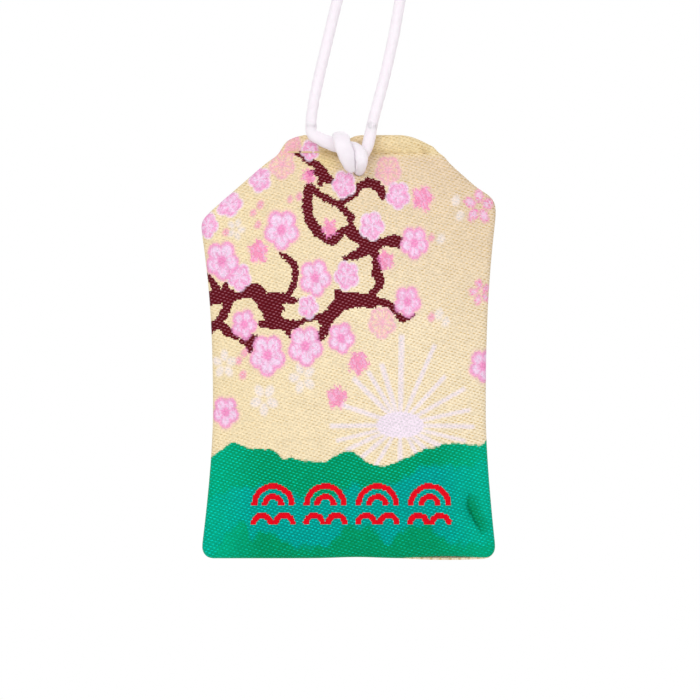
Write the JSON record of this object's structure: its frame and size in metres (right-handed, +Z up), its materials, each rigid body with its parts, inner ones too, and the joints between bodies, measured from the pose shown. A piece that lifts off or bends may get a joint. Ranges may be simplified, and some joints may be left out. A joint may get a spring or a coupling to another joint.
{
  "type": "omamori charm",
  "caption": "Flat brocade amulet pouch with slanted shoulders, sewn shut round a card and a wrapped paper slip, on a loop of round cord hitched through a hole under its mouth edge.",
  "frame": {"origin": "the point inside the top of the cord loop where a hook or peg holds it", "axes": "+Z up, the way the charm hangs; front of the pouch towards -Y; +X to the right seen from the front"},
  "size_m": [0.0523, 0.0111, 0.1336],
  "materials": {
    "brocade": "figured jacquard weave with a soft satin sheen",
    "interlining": "matt white non-woven cloth",
    "card": "matt grey board",
    "paper": "matt fibrous white paper",
    "thread": "twisted cream sewing thread",
    "cord": "soft braided white cord"
  },
  "bodies": {
    "cord_loop": {"left_strand": "cord", "right_strand": "cord", "end_knot": "cord"},
    "pouch": {"front_panel": "brocade", "back_panel": "brocade", "front_interlining": "interlining", "back_interlining": "interlining", "stiffener_card": "card", "slip_wrapper": "paper", "blessing_slip": "paper", "edge_seam_thread": "thread", "mouth_needle_thread": "thread", "mouth_bobbin_thread": "thread", "cord_hitch": "cord"}
  },
  "joints": [
    {"name": "pouch_swing", "type": "hinge", "parent": "cord_loop", "child": "pouch", "pos_m": [-0.00855, 0, -0.0378], "axis": [1, 0, 0], "range_deg": [-80, 80]}
  ]
}
